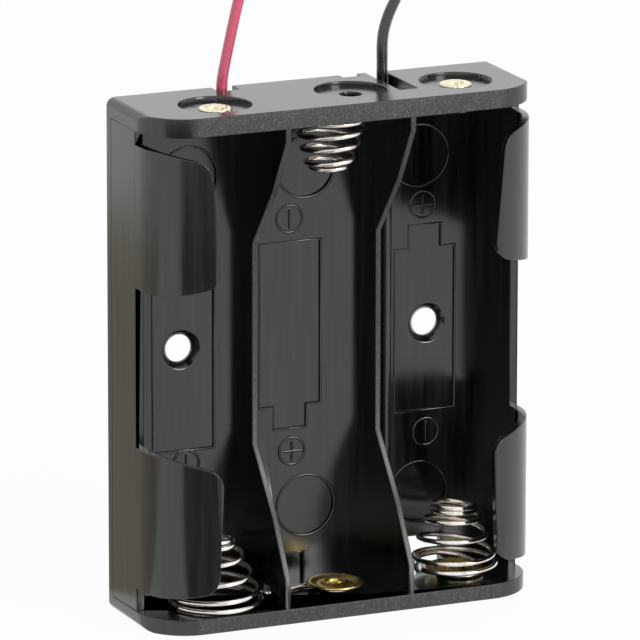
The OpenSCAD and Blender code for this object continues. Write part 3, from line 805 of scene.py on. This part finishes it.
NICKEL = nickel_material()
contact_spring("left_spring", "contact_spring_left",
               hook((0.3, AXIS_Y - 0.4), BOTTOM_TAIL_Z, -250, 100)
               + [(-3.2, AXIS_Y + 1.3, BOTTOM_TAIL_Z), (-6.95, AXIS_Y + 0.2, BOTTOM_TAIL_Z)]
               + cone_turns((-14.3, AXIS_Y), start=0, hand=1, reach=6.3,
                            radii=(5.15, 5.05, 4.35, 3.4, 2.45, 1.8),
                            heights=(2.2, 3.2, 5.0, 7.1, 8.75, 9.35)))
contact_spring("centre_spring", "contact_spring_centre",
               hook((15.8, AXIS_Y + 1.2), TOP_TAIL_Z, 200, -90)
               + [(10.55, AXIS_Y + 0.2, TOP_TAIL_Z), (8.35, AXIS_Y, TOP_TAIL_Z)]
               + cone_turns((0, AXIS_Y), start=0, hand=-1, reach=7.0, drift=-0.1,
                            radii=(4.0, 3.85, 3.35, 2.85, 2.1),
                            heights=(56.95, 55.45, 53.9, 52.2, 51.4)))
contact_spring("right_spring", "contact_spring_right",
               hook((15.3, AXIS_Y), BOTTOM_TAIL_Z, -60, 240)
               + widening((15.3, AXIS_Y), BOTTOM_TAIL_Z)
               + cone_turns((15.4, AXIS_Y), start=90, hand=1, lean=-0.1,
                            radii=(4.8, 4.65, 3.9, 3.15, 2.5, 2.4),
                            heights=(3.2, 4.2, 6.5, 8.6, 9.6, 10.2)))


# ---- Eyelets ----
# Hollow brass eyelets riveted through the end walls: a dished flange inside, where a cell's
# button or the wire's hook is pressed, and the split, rolled end in the pocket outside, which
# is paler. Sizes in this section are in mm.
TOP_INNER_Z = 57.4
TOP_WALL = (TOP_INNER_Z, 1, 2.2)  # height of its inner face, the way out, and its thickness
BOTTOM_WALL = (1.8, -1, 1.8)
POCKET_DEPTH = 0.55
FLANGE_THICK = 0.4
HOOK_THICK = 0.7  # room for a hooked wire under a flange
TAG_THICK = 0.3
SPLITS = 5
SPLIT_SHARPNESS = 60
TURNED_STEPS = 96
MIDDLE_Z = 0.0298  # the next three are in metres: the holder's middle height, and the
PALE_FROM = 0.0284  # distances from it over which the brass turns pale
PALE_TO = 0.0293
PALE_BRASS = (0.88, 0.82, 0.62, 1)


def brass_material():
    """Brass gone slightly olive, paler outside the end walls."""
    material, tree, shader, place, colour = finished_material(
        "eyelet_brass", dark=(0.48, 0.34, 0.07), light=(0.82, 0.64, 0.24), cloud=(900.0, 4.0),
        tones=(0.32, 0.66), gloss=(0.18, 0.38), fine=(3600.0, 3.0), relief=(0.35, 0.00004),
        metal=1.0)
    height = add_node(tree, "ShaderNodeSeparateXYZ", Vector=place).outputs["Z"]
    outside = maths(tree, "ABSOLUTE", maths(tree, "SUBTRACT", height, MIDDLE_Z))
    paler = ranged(tree, outside, PALE_FROM, PALE_TO)
    tree.links.new(mixed_colour(tree, paler, colour, PALE_BRASS), shader.inputs["Base Color"])
    return material


def turned_piece(name, profile, place, material, steps):
    """A profile of (radius, distance) turned round an axis; place puts a point in the holder."""
    work = bmesh.new()
    rings = []
    for i in range(steps):
        angle = 2 * pi * i / steps
        rings.append([work.verts.new(Vector(place(r, u, angle)) / 1000) for r, u in profile])
    hollow = profile[0][0] > 0
    for a, b in zip(rings, rings[1:] + rings[:1]):
        for k in range(len(profile) if hollow else len(profile) - 1):
            n = (k + 1) % len(profile)
            work.faces.new((a[k], a[n], b[n], b[k]))
    bmesh.ops.remove_doubles(work, verts=work.verts, dist=1e-7)
    bmesh.ops.recalc_face_normals(work, faces=work.faces)
    mesh = bpy.data.meshes.new(name)
    work.to_mesh(mesh)
    work.free()
    mesh.shade_smooth()
    mesh.set_sharp_from_angle(angle=radians(60))
    piece = new_piece(name, mesh, material)
    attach(piece, "root")
    return piece


def eyelet(name, at, wall, under, flange=3.25):
    """An eyelet through an end wall; its flange stands under off the wall's inner face."""
    inner_z, outward, wall_thick = wall
    low = -under
    seat = wall_thick - POCKET_DEPTH
    rim = [(1.5, low), (flange - 0.3, low), (flange - 0.08, low - 0.05), (flange, low - 0.2),
           (flange - 0.08, low - 0.35), (flange - 0.3, low - FLANGE_THICK)]
    dish = [(flange - 0.6, low - 0.33), (2.2, low - 0.14), (1.85, low - 0.1), (1.6, low - 0.16),
            (1.38, low - 0.34), (1.18, low - FLANGE_THICK), (1.0, low - 0.33), (0.9, low - 0.1)]
    rolled = [(0.9, seat), (0.97, seat + 0.16), (1.15, seat + 0.27), (1.42, seat + 0.3),
              (1.7, seat + 0.24), (1.88, seat + 0.12), (1.88, seat + 0.02), (1.5, seat)]

    def place(radius, along, angle):
        split = max(0.0, cos(SPLITS * angle + at[0])) ** SPLIT_SHARPNESS
        if along > seat and radius > 1.1:
            radius -= 0.3 * split * (radius - 1.1)
            along -= 0.16 * split * (along - seat) / 0.3
        return (at[0] + radius * cos(angle), at[1] + radius * sin(angle),
                inner_z + outward * along)

    piece = turned_piece(name, rim + dish + rolled, place, BRASS, TURNED_STEPS)
    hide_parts(name.replace("brass_", "eyelet_"))


BRASS = brass_material()
eyelet("brass_left_positive", (-14, AXIS_Y + 0.6), TOP_WALL, TAG_THICK, flange=2.9)
eyelet("brass_right_positive", (15.8, AXIS_Y + 1.2), TOP_WALL, HOOK_THICK, flange=2.75)
eyelet("brass_centre_positive", (0.3, AXIS_Y - 0.4), BOTTOM_WALL, HOOK_THICK)
eyelet("brass_right_negative", (15.3, AXIS_Y), BOTTOM_WALL, HOOK_THICK)


# ---- Solder tag and solder ----
# A flat brass tag riveted under the left top eyelet, with the red lead soldered to its tongue,
# and the drop that holds the black lead to the right spring's first turn. Sizes are in mm.
TAG_EASE = 0.00005  # in metres
DROP_STEPS = 40
DROP_WOBBLE = 0.06
DROP_OUTLINE = [  # shares of its width and height
    (0, 0), (0.5, 0), (0.49, 0.2), (0.4, 0.55), (0.26, 0.85), (0.1, 0.98), (0, 1),
]


def solder_drop(name, node, foot, along, width, height):
    """A set drop of solder on its foot."""
    side = along.orthogonal().normalized()
    other = along.cross(side)
    profile = [(width * r, height * u) for r, u in DROP_OUTLINE]

    def place(radius, up, angle):
        wobble = radius * (1 + DROP_WOBBLE * sin(3 * angle + 1))
        return foot + along * up + side * (wobble * cos(angle)) + other * (wobble * sin(angle))

    piece = turned_piece(name, profile, place, TIN, DROP_STEPS)
    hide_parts(node)


TAG = eased_copy("brass_solder_tag", "solder_tag", TAG_EASE, BRASS)
solder_drop("red_solder_drop", "solder_joint_red",
            foot=Vector((-10.6, AXIS_Y + 3.6, TOP_INNER_Z - TAG_THICK)),
            along=Vector((0, 0, -1)), width=2.2, height=0.7)
solder_drop("black_solder_drop", "solder_joint_black",
            foot=Vector((10.58, AXIS_Y - 0.9, 3.4)),
            along=Vector((-1, 0, 0)), width=1.3, height=0.6)
